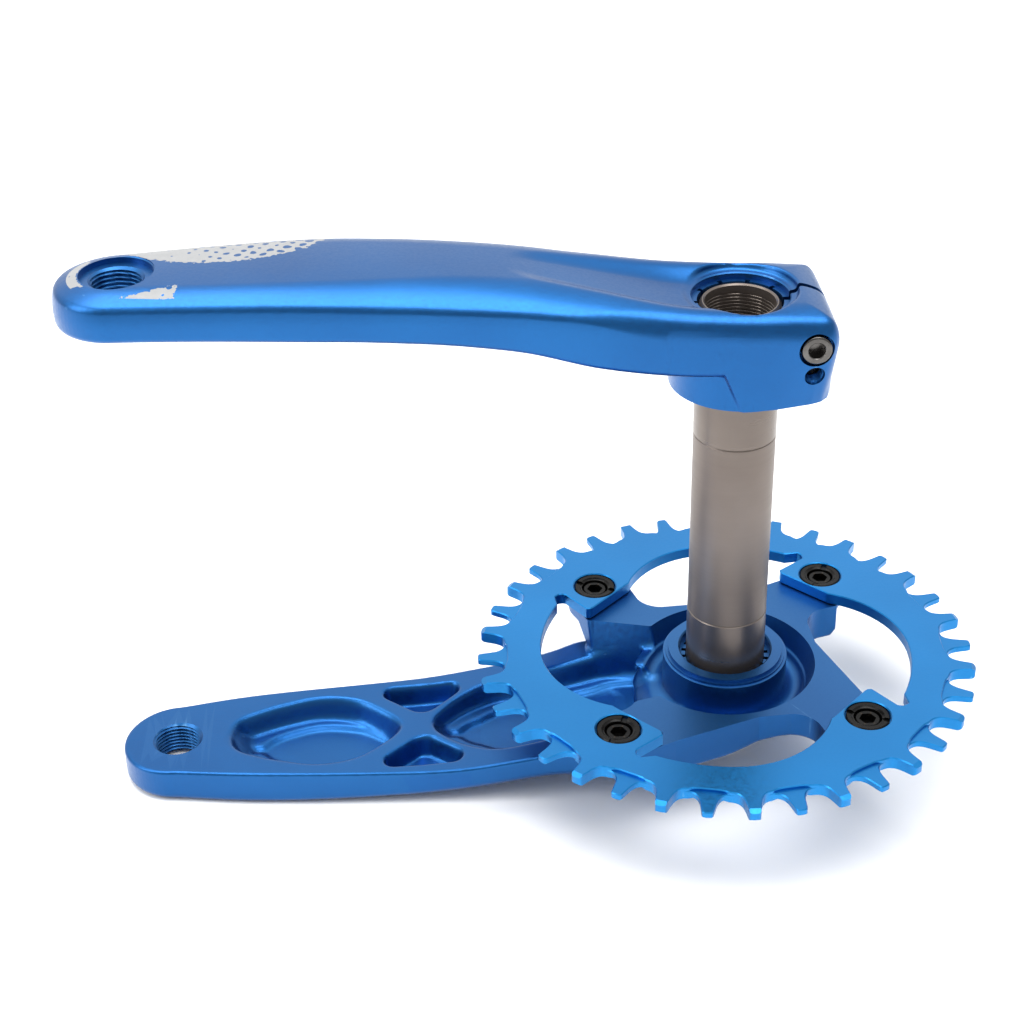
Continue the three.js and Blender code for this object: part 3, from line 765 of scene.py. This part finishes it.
def chainring():
    """A middle layer with every tooth, and two outer layers with only the wide ones."""
    edge, top, bottom = RING_CHAMFER, RING_TOP, RING_BOTTOM
    core = layered("chainring_plate", cornered(toothed(WIDE_TOOTH), 2),
                   [(bottom + 0.95, -edge), (bottom + 1.25, 0), (top - 1.25, 0), (top - 0.95, -edge)])
    for way, face in ((1, top), (-1, bottom)):
        layers = [(face - way * 1.5, 0), (face - way * edge, 0), (face, -edge)]
        join(core, layered("face", cornered(toothed(SCALLOP), 2), layers[::way]))
    opening = layered("opening", ring_opening(),
                      [(bottom - 1, edge + 1), (bottom, edge), (bottom + edge, 0), (top - edge, 0),
                       (top, edge), (top + 1, edge + 1)])
    hole = [(0, bottom - 2), (5.2, bottom - 2), (5.2, top - 1.6), (6.8, top - 1.6), (6.8, top - 0.3),
            (7.1, top), (7.1, top + 2), (0, top + 2)]
    cut(core, opening, *[revolved("hole", hole, 72, place) for place in BOLT_PLACES])
    for way, face in ((1, top), (-1, bottom)):
        tip = [(74.7, face + way * 0.1), (76.9, face - way * 1.35), (79, face - way * 1.35), (79, face + way)]
        cut(core, revolved("tip", tip, 144))
    return shade(core, 30)


# ---- spindle and fasteners ----


JOURNALS = (-31.6, 29.6)


def hex_outline(across, turn=0.0):
    r = across / math.sqrt(3)
    return [(r * math.cos(turn + TAU * i / 6), r * math.sin(turn + TAU * i / 6)) for i in range(6)]


def hollow_spindle():
    """A tube with two ground bearing seats, a keyed and chamfered end, and a thread inside it."""
    r, low, high = SPINDLE_RADIUS, SPINDLE_LOW[2], SPINDLE_HIGH[2]
    journal_bottom, journal_top = JOURNALS
    ground = r - 0.06
    outside = [(r - 0.8, low), (r, low + 0.8), (r, journal_bottom - 0.25), (ground - 0.18, journal_bottom),
               (ground, journal_bottom + 0.3), (ground, journal_top - 0.3), (ground - 0.18, journal_top),
               (r, journal_top + 0.25), (r, high - 3.0), (r - 0.55, high - 3.3), (r - 0.55, high - 1.1),
               (r - 1.0, high - 0.35), (r - 1.3, high)]
    inside = [(10.45, high), (10.05, high - 0.4), (9.95, high - 1.6), (9.9, high - 1.7), (9.2, high - 20),
              (9.2, low + 0.6), (9.7, low)]
    tube = revolved("spindle_tube", outside + inside, 160)
    thread = threaded_plug("thread", 9.95, 0.62, 1.0, high - 19, high - 2.4, 96, 10)
    cut(tube, thread)
    for i in range(LEFT_KEYS):
        groove = prism("groove", [(r - 0.5, -1.5), (r + 2, -1.5), (r + 2, 1.5), (r - 0.5, 1.5)], HUB_FACE + 1,
                       high - 4)
        cut(tube, placed(groove, Matrix.Rotation(TAU * (i + 0.5) / LEFT_KEYS, 4, "Z")))
    return shade(tube, 30)


def ring_nut(index):
    """A sleeve nut with a thin flange and a screwdriver slot."""
    low, high = box_mm(f"chainring_nut_{index}")
    top = high[2]
    nut = revolved(f"ring_nut_{index}", [(4.45, low[2]), (4.9, low[2] + 0.4), (4.9, top - 1.1),
                                         (6.2, top - 1.1), (6.5, top - 0.8), (6.5, top - 0.35), (6.15, top),
                                         (5.0, top - 0.05), (4.55, top - 0.5), (4.2, top - 0.6),
                                         (4.2, low[2])], 72)
    cut(nut, prism("slot", [(-9, -0.9), (9, -0.9), (9, 0.9), (-9, 0.9)], top - 0.75, top + 1))
    turn = Matrix.Rotation(BOLT_ANGLES[index - 1] + 0.35, 4, "Z")
    placed(nut, moved_mm(*BOLT_PLACES[index - 1]) @ turn)
    return shade(nut, 30)


def ring_bolt(index):
    """A flat-headed bolt, with a hexagon socket at each end."""
    low, high = box_mm(f"chainring_bolt_{index}")
    head, tip = low[2], high[2]
    bolt = revolved(f"ring_bolt_{index}", [(0, head), (5.9, head), (6.5, head + 0.6), (6.5, head + 2.2),
                                           (3.9, head + 2.2), (3.9, tip - 0.5), (3.4, tip), (0, tip)], 72)
    cut(bolt, prism("socket", hex_outline(5.0), head - 1, head + 1.8),
        prism("socket", hex_outline(4.4), tip - 2.4, tip + 1))
    placed(bolt, moved_mm(*BOLT_PLACES[index - 1]))
    return shade(bolt, 30)


def pinch_bolt(bolt, index):
    """A cap screw, made standing on its head's underside and then laid across the clamp."""
    head = [(2.4, 0), (4.25, 0), (4.25, 0.15), (4.25, 4.2)] + arc(3.55, 4.3, 0.7, 0, 90, 6)[1:]
    profile = [(0, 1.8), (0, -1), (2.3, -1)] + head + [(2.55, PINCH_HEAD), (2.35, 4.8), (2.35, 1.8)]
    screw = revolved(f"clamp_screw_{index}", profile, 72)
    join(screw, threaded_plug("shank", 2.45, 0.3, PINCH_PITCH, -26, 0.5, 36, 8))
    cut(screw, prism("socket", hex_outline(4.0, 0.3), 1.9, 8))
    crosswise(screw, bolt)
    placed(screw, moved_mm(0, bolt["under_head"], 0))
    return shade(screw, 30)


# ---- materials ----


class Look:
    """A material, and the few kinds of node that it is made of."""

    def __init__(self, name, **values):
        self.material = bpy.data.materials.new(name)
        self.material.use_nodes = True
        self.tree = self.material.node_tree
        self.shader = self.tree.nodes["Principled BSDF"]
        for key, value in values.items():
            self.put(self.shader.inputs[key.replace("_", " ")], value)
        self.place = self.add("TexCoord", {}).outputs["Object"]

    def put(self, socket, value):
        if isinstance(value, bpy.types.NodeSocket):
            self.tree.links.new(value, socket)
        else:
            socket.default_value = value

    def finish(self, colour, roughness, height, depth_mm):
        """Gives the shader its colour, its roughness and a bump of that depth."""
        bump = self.add("Bump", {"Height": height, "Distance": depth_mm * MM, "Strength": 1.0})
        self.put(self.shader.inputs["Base Color"], colour)
        self.put(self.shader.inputs["Roughness"], roughness)
        self.put(self.shader.inputs["Normal"], bump.outputs[0])
        return self.material

    def add(self, kind, inputs, **settings):
        node = self.tree.nodes.new("ShaderNode" + kind)
        for key, value in settings.items():
            setattr(node, key, value)
        for key, value in inputs.items():
            self.put(node.inputs[key], value)
        return node

    def maths(self, operation, *values):
        return self.add("Math", dict(enumerate(values)), operation=operation).outputs[0]

    def plus(self, first, second):
        return self.maths("ADD", first, second)

    def times(self, first, second):
        return self.maths("MULTIPLY", first, second)

    def vector(self, operation, *values):
        return self.add("VectorMath", dict(enumerate(values)), operation=operation).outputs[0]

    def scaled(self, vector, factor):
        return self.add("VectorMath", {0: vector, "Scale": factor}, operation="SCALE").outputs[0]

    def length(self, vector):
        return self.add("VectorMath", {0: vector}, operation="LENGTH").outputs["Value"]

    def axis(self, name, source=None):
        return self.add("SeparateXYZ", {0: source or self.place}).outputs[name]

    def noise(self, scale, detail=2.0, at=None):
        """Noise whose features are about 1 mm across at scale 1."""
        inputs = {"Vector": at or self.place, "Scale": scale / MM / 2, "Detail": detail}
        return self.add("TexNoise", inputs).outputs["Fac"]

    def ramp(self, value, low, high, start=0.0, end=1.0):
        inputs = {"Value": value, "From Min": low, "From Max": high, "To Min": start, "To Max": end}
        return self.add("MapRange", inputs).outputs[0]

    def mix(self, factor, first, second):
        return self.add("Mix", {0: factor, 6: first, 7: second}, data_type="RGBA").outputs[2]

    def edges(self, low, high):
        """How far a point is on a sharp, outward edge, where a painted highlight goes."""
        return self.ramp(self.add("NewGeometry", {}).outputs["Pointiness"], low, high)


def rgb(red, green, blue):
    """A colour given as 0 to 255 on a screen, as the shader's linear values."""
    parts = [value / 255 for value in (red, green, blue)]
    return (*(c / 12.92 if c < 0.0404 else ((c + 0.055) / 1.055) ** 2.4 for c in parts), 1.0)


COAT = {"Coat_Weight": 0.35, "Coat_Roughness": 0.3}
# Each holds a deep and a bright tone of the dye, and a pale third tone that paints a highlight on sharp
# edges.
FORGED_TONES = rgb(14, 84, 146), rgb(18, 92, 156), rgb(100, 165, 220)
# A little darker than the forged tones: painted shade in the pockets.
PRESSED_SHADED_TONES = rgb(10, 80, 144), rgb(15, 90, 156), rgb(100, 165, 220)
MACHINED_TONES = rgb(24, 88, 148), rgb(30, 96, 156), rgb(110, 170, 220)
RING_TONES = rgb(15, 118, 184), rgb(21, 126, 194), rgb(130, 200, 240)


def anodised(look, deep, bright, edge_highlight):
    """Dyed, etched aluminium: its colour drifts a little, and its sharp edges take a pale painted highlight.
    """
    drift = look.ramp(look.noise(0.035, 3), 0.35, 0.65)
    dyed = look.mix(drift, deep, bright)
    # Painted highlight: the pale third tone, laid on sharp edges in noisy patches.
    thin = look.times(look.edges(0.58, 0.72), look.ramp(look.noise(0.4, 3), 0.35, 0.6, 0.1, 0.5))
    return look.mix(thin, dyed, edge_highlight)


def forged_blue():
    look = Look("anodised_blue_forged", Metallic=1.0, **COAT)
    grain = look.noise(2.2)
    roughness = look.ramp(grain, 0.3, 0.7, 0.30, 0.42)
    orange_peel = look.times(look.noise(0.5), 1.5)
    return look.finish(anodised(look, *FORGED_TONES), roughness, look.plus(grain, orange_peel), 0.02)


def pressed_shaded_blue():
    """The forged pockets, whose skin keeps the die's coarse grain, in a slightly darker blue that is painted
    shade.
    """
    look = Look("anodised_blue_pressed_shaded", Metallic=1.0, **COAT)
    grain = look.noise(1.3, 3)
    roughness = look.ramp(grain, 0.3, 0.7, 0.28, 0.42)
    orange_peel = look.times(look.noise(0.5), 1.2)
    return look.finish(anodised(look, *PRESSED_SHADED_TONES), roughness, look.plus(grain, orange_peel), 0.06)


def machined_blue():
    """The turned and milled faces: flatter, greyer, with faint tool marks round the axis."""
    look = Look("anodised_blue_machined", Metallic=1.0, **COAT)
    radius = look.length(look.vector("MULTIPLY", look.place, (1, 1, 0)))
    across = look.add("CombineXYZ", {0: radius, 2: look.axis("Z")}).outputs[0]
    marks = look.times(look.noise(1.2, 2, across), 0.1)
    grain = look.noise(2.5)
    roughness = look.ramp(grain, 0.3, 0.7, 0.36, 0.46)
    return look.finish(anodised(look, *MACHINED_TONES), roughness, look.plus(marks, grain), 0.005)


def chainring_blue():
    look = Look("chainring_blue", Metallic=1.0, **COAT)
    grain = look.noise(2.2)
    roughness = look.ramp(grain, 0.3, 0.7, 0.32, 0.44)
    return look.finish(anodised(look, *RING_TONES), roughness, look.plus(grain, look.noise(0.7)), 0.016)


def ragged_place(look):
    """The place on the arm, shifted about so that the edges of the print look torn."""
    torn = look.add("TexNoise", {"Vector": look.place, "Scale": 900.0, "Detail": 3.0}).outputs["Color"]
    shift = look.scaled(look.vector("SUBTRACT", torn, (0.5, 0.5, 0.5)), 3.0 * MM)
    return look.vector("ADD", look.place, shift)


def print_area(look):
    """1 in the patch beside the pedal hole, the crescent round its end and the strip before it."""
    place = ragged_place(look)
    x, y = look.axis("X", place), look.axis("Y", place)

    def less(value, limit):
        return look.maths("LESS_THAN", value, limit)

    def in_oval(cx, cy, rx, ry):
        dx = look.maths("DIVIDE", look.maths("SUBTRACT", x, cx * MM), rx * MM)
        dy = look.maths("DIVIDE", look.maths("SUBTRACT", y, cy * MM), ry * MM)
        return less(look.maths("SQRT", look.plus(look.times(dx, dx), look.times(dy, dy))), 1.0)

    patch = in_oval(-142, 20, 29, 18)
    near_axis = less(look.maths("ABSOLUTE", look.maths("SUBTRACT", y, 2 * MM)), 9 * MM)
    crescent = look.times(in_oval(-170, 0, 15, 14.6), look.times(less(x, -178 * MM), near_axis))
    below_slant = less(look.maths("SUBTRACT", y, look.times(x, 0.24)), 26.4 * MM)
    strip = look.times(look.times(below_slant, less(-15.6 * MM, y)),
                       look.times(less(x, -153 * MM), less(-178 * MM, x)))
    return look.maths("MAXIMUM", look.maths("MAXIMUM", patch, crescent), strip)


def between_dots(look):
    """1 between the dots of a slanted grid. They grow towards the blade."""
    slanted = look.add("VectorRotate", {"Vector": look.place, "Angle": 0.5}, rotation_type="Z_AXIS")
    cell = look.vector("FRACTION", look.scaled(slanted.outputs[0], 1 / (3.3 * MM)))
    from_middle = look.vector("SUBTRACT", cell, (0.5, 0.5, 0))
    distance = look.length(look.vector("MULTIPLY", from_middle, (1, 1, 0)))
    wobble = look.ramp(look.noise(0.45), 0.3, 0.7, -0.22, 0.16)
    size = look.plus(look.ramp(look.axis("X"), -166 * MM, -122 * MM, 0.02, 0.34), wobble)
    return look.maths("GREATER_THAN", distance, size)


def on_outer_face(look):
    up = look.axis("Z", look.add("TexCoord", {}).outputs["Normal"])
    return look.times(look.maths("LESS_THAN", 0.8, up),
                      look.maths("LESS_THAN", 86.6 * MM, look.axis("Z")))


def printed_blue():
    """The left arm: forged blue, with a pale, torn-edged halftone on its face round the pedal hole."""
    look = Look("anodised_blue_printed", **COAT)
    grain = look.noise(2.2)
    paint = look.times(look.times(print_area(look), between_dots(look)), on_outer_face(look))
    ink = look.mix(look.noise(0.8), rgb(134, 135, 136), rgb(146, 147, 148))
    look.put(look.shader.inputs["Metallic"], look.maths("SUBTRACT", 1.0, paint))
    roughness = look.plus(look.ramp(grain, 0.3, 0.7, 0.30, 0.42), look.times(paint, 0.2))
    height = look.plus(look.plus(grain, look.times(look.noise(0.5), 1.5)), paint)
    return look.finish(look.mix(paint, anodised(look, *FORGED_TONES), ink), roughness, height, 0.02)


def turned_steel():
    """The spindle: polished where the bearings sit, matt and a little browner between them."""
    look = Look("ground_steel", Metallic=0.8)
    low, high = JOURNALS
    from_middle = look.maths("ABSOLUTE", look.plus(look.axis("Z"), -(low + high) / 2 * MM))
    middle = look.maths("LESS_THAN", from_middle, (high - low) / 2 * MM)
    rings = look.noise(2.2, 3, look.vector("MULTIPLY", look.place, (0.02, 0.02, 1)))
    grain = look.times(look.times(look.noise(1.6, 3), middle), 2.0)
    stain = look.ramp(look.noise(0.06, 3), 0.35, 0.65)
    polished = look.mix(stain, rgb(112, 103, 97), rgb(126, 117, 110))
    matt = look.mix(stain, rgb(118, 108, 101), rgb(130, 120, 113))
    roughness = look.plus(look.ramp(rings, 0.3, 0.7, 0.27, 0.33), look.times(middle, 0.14))
    return look.finish(look.mix(middle, polished, matt), roughness, look.plus(rings, grain), 0.003)


def black_steel():
    look = Look("black_oxide", Metallic=0.7)
    grain = look.noise(3)
    tone = look.mix(look.ramp(look.noise(0.5, 3), 0.35, 0.65), rgb(9, 9, 9), rgb(18, 17, 16))
    # Painted highlight: a warm brown on the sharp edges stands in for glints.
    tone = look.mix(look.edges(0.62, 0.75), tone, rgb(70, 60, 50))
    return look.finish(tone, look.ramp(grain, 0.3, 0.7, 0.24, 0.38), grain, 0.006)


def plated_steel():
    look = Look("plated_steel", Metallic=1.0)
    grain = look.noise(2.5, 3)
    tone = look.mix(look.ramp(look.noise(0.3, 3), 0.35, 0.65), rgb(84, 82, 80), rgb(104, 102, 100))
    return look.finish(tone, look.ramp(grain, 0.3, 0.7, 0.16, 0.30), grain, 0.005)


def pale_floor():
    look = Look("pale_floor", Roughness=0.9)
    tone = look.mix(look.noise(0.01), rgb(247, 247, 247), rgb(250, 250, 250))
    look.put(look.shader.inputs["Base Color"], tone)
    return look.material


def dress(piece, *looks, choose=None):
    """Gives a piece its materials. choose(centres, normals), in mm, says which one each face takes."""
    piece.data.materials.clear()
    for look in looks:
        piece.data.materials.append(look)
    if choose:
        polygons = piece.data.polygons
        centres, normals = np.empty((2, len(polygons) * 3))
        polygons.foreach_get("center", centres)
        polygons.foreach_get("normal", normals)
        chosen = choose(centres.reshape(-1, 3) / MM, normals.reshape(-1, 3))
        polygons.foreach_set("material_index", chosen.astype(np.int32))
    return piece


NEAR = 0.05
FLAT = 0.999


def round_holes(x, y):
    """How far faces are from the spindle's axis, and which are in the pedal hole or its seat."""
    return np.hypot(x, y), np.hypot(x + CRANK, y) < PEDAL_SEAT_RADIUS + 0.4


def finishes_of_left(centres, normals):
    """1 on the hub's faces, its bore, and the pedal hole with its seat."""
    x, y, z = centres.T
    hub, pedal = round_holes(x, y)
    flat = np.abs(normals[:, 2]) > FLAT
    spotface = flat & (np.abs(z - SPOTFACE) < NEAR) & (hub < RECESS_RADIUS + 4)
    under = flat & (z < HUB_FACE + NEAR)
    bore = (hub < RECESS_RADIUS + 0.5) & (z < SPOTFACE - NEAR)
    return spotface | under | bore | pedal


def finishes_of_drive(centres, normals):
    """1 on the spider's front, the dish and collar, and the pedal hole; 2 in the pressed pockets, whose
    darker blue is painted shade.
    """
    x, y, z = centres.T
    hub, pedal = round_holes(x, y)
    front = (normals[:, 2] > FLAT) & (np.abs(z - SPIDER_FACE) < NEAR)
    dish = (hub < 28.0) & (z > WEB_TOP)
    bowl = (hub < 25.6) & (z > DISH_FLOOR - 1)
    machined = front | dish | bowl | pedal | (hub < SPINDLE_RADIUS + 2)
    above = z - DRIVE_INNER(x)
    rim = np.where(x < -100, TEARDROP_RIM(x), np.where(x < -80, 30, 24.5))
    pressed = (x > -154) & (x < -14) & (np.abs(y) < rim + 0.3) & (z < SPIDER_FACE - 0.4)
    pressed &= (above > -7.5) & ((above < -1.1) | ((x > -40) & (above > 0.5)))
    return np.where(machined, 1, np.where(pressed, 2, 0))


# ---- the pieces, each on its body ----


def settle(piece, body, node):
    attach(piece, body)
    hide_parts(node)


STEP = 0.4
machined, black, plated = machined_blue(), black_steel(), plated_steel()
left = dress(left_arm(STEP), printed_blue(), machined, choose=finishes_of_left)
settle(left, "left_arm", "left_crank_arm")
drive = dress(drive_arm(STEP), forged_blue(), machined, pressed_shaded_blue(), choose=finishes_of_drive)
settle(drive, "drive_side", "drive_crank_arm")
settle(dress(hollow_spindle(), turned_steel()), "drive_side", "spindle")
settle(dress(chainring(), chainring_blue()), "drive_side", "chainring")
for number in (1, 2, 3, 4):
    settle(dress(ring_nut(number), black), "drive_side", f"chainring_nut_{number}")
    settle(dress(ring_bolt(number), black), "drive_side", f"chainring_bolt_{number}")
for number, bolt in enumerate(PINCH, 1):
    settle(dress(pinch_bolt(bolt, number), plated), bolt["node"], bolt["node"])


# ---- floor, lights and camera ----


def floor():
    low, half = DRIVE_LOW[2] - 0.2, 9000
    corners = [(-half, -half, low), (half, -half, low), (half, half, low), (-half, half, low)]
    dress(new_piece("floor", corners, [(0, 1, 2, 3)]), pale_floor())


def sky():
    """A soft white surround, brightest overhead and behind, dimmer in front and near the ground."""
    world = bpy.data.worlds.new("studio")
    world.use_nodes = True
    nodes, links = world.node_tree.nodes, world.node_tree.links
    coordinate = nodes.new("ShaderNodeTexCoord")
    facing = nodes.new("ShaderNodeVectorMath")
    facing.operation = "DOT_PRODUCT"
    facing.inputs[1].default_value = (0, 0.55, 0.83)
    ramp = nodes.new("ShaderNodeMapRange")
    ramp.inputs["From Max"].default_value = 0.7
    ramp.inputs["To Min"].default_value = 0.5
    ramp.inputs["To Max"].default_value = 1.25
    links.new(coordinate.outputs["Generated"], facing.inputs[0])
    links.new(facing.outputs["Value"], ramp.inputs["Value"])
    links.new(ramp.outputs[0], nodes["Background"].inputs["Strength"])
    nodes["Background"].inputs["Color"].default_value = (1, 1, 1, 1)
    bpy.context.scene.world = world


def softbox(name, place, target, size, watts):
    data = bpy.data.lights.new(name, "AREA")
    data.shape = "RECTANGLE"
    data.size, data.size_y = size
    data.energy = watts
    lamp = linked(name, data)
    lamp.location = place
    lamp.rotation_euler = (Vector(target) - Vector(place)).to_track_quat("-Z", "Y").to_euler()


def camera():
    data = bpy.data.cameras.new("camera")
    data.sensor_width = 36
    data.lens = 69.68
    data.shift_x, data.shift_y = -0.0276, -0.058
    data.clip_start = 0.01
    made = linked("camera", data)
    yaw, pitch, roll = (math.radians(a) for a in (-3.705, 30.707, -0.736))
    made.matrix_world = (Matrix.Translation((-0.08795, -0.48981, 0.31677)) @ Matrix.Rotation(yaw, 4, "Z")
                         @ Matrix.Rotation(math.pi / 2 - pitch, 4, "X") @ Matrix.Rotation(roll, 4, "Z"))
    bpy.context.scene.camera = made


floor()
sky()
softbox("overhead", (-0.1, -0.05, 1.2), (-0.06, 0, 0), (1.7, 0.8), 19)
softbox("left", (-1.1, -0.3, 0.6), (-0.06, 0, 0), (0.5, 0.9), 6)
camera()
bpy.context.scene.view_settings.view_transform = "Standard"
